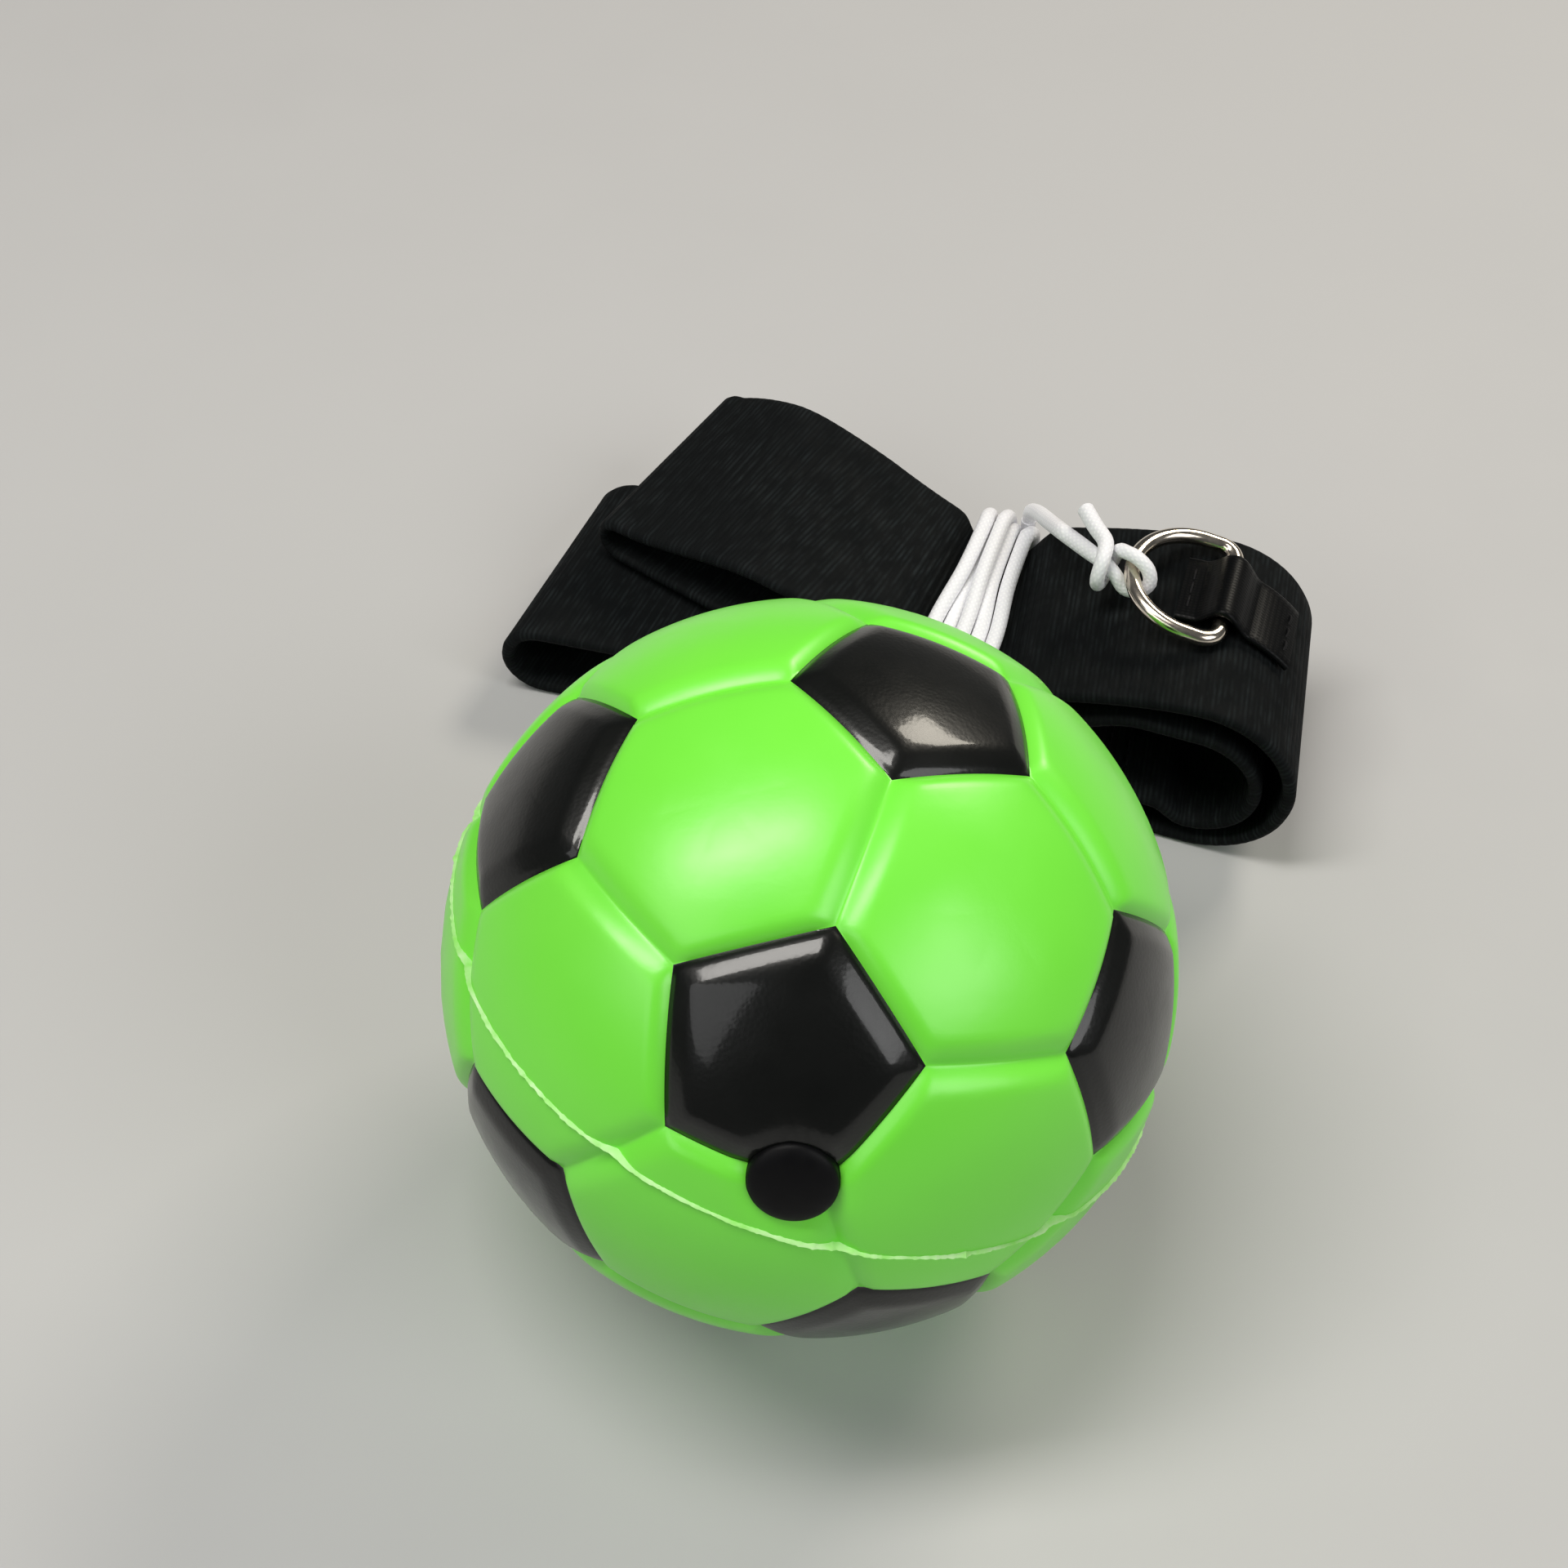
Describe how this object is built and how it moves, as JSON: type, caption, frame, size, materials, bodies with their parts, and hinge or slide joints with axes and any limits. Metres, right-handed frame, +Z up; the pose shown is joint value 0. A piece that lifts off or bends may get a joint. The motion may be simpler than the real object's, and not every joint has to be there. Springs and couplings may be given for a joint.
{
  "type": "reflex ball headband",
  "caption": "Foam ball with a football pattern on an elastic cord, the cord wound round its folded elastic headband and tied to a D-ring.",
  "frame": {"origin": "on the surface that the part lies on, under the middle of its box without the cord", "axes": "+Z up, +Y from the ball towards the headband, +X towards the end of the band that holds the ring"},
  "size_m": [0.0896, 0.1216, 0.063],
  "materials": {
    "green_foam": "soft polyurethane foam, satin skin",
    "plug_plastic": "matt",
    "elastic_cord": "braided, matt",
    "nickel_wire": "bright nickel plate",
    "tab_webbing": "satin",
    "band_elastic": "ribbed weave, matt"
  },
  "bodies": {
    "band": {"headband": "band_elastic", "ring_tab": "tab_webbing", "cord_winding": "elastic_cord", "cord_lead": "elastic_cord", "cord_span": "elastic_cord"},
    "stopper": {"stopper_plug": "plug_plastic", "stop_knot": "elastic_cord", "cord_core": "elastic_cord"},
    "foam_ball": {"ball": "green_foam"},
    "ring": {"d_ring": "nickel_wire", "ring_hitch": "elastic_cord"}
  },
  "joints": [
    {"name": "ball_pull", "type": "slide", "parent": "band", "child": "stopper", "axis": [0, -1, 0], "range_m": [0, 0.025], "stiffness_N_per_m": 120, "deforming": ["cord_lead"]},
    {"name": "ball_spin", "type": "hinge", "parent": "stopper", "child": "foam_ball", "pos_m": [-0.00766, -0.02938, 0.0315], "axis": [0, -0.9135, 0.4067], "continuous": true},
    {"name": "ring_swing", "type": "hinge", "parent": "band", "child": "ring", "pos_m": [0.03345, 0.02525, 0.02245], "axis": [0.2368, 0.9715, 0], "range_deg": [0, 90], "deforming": ["cord_span"]}
  ]
}
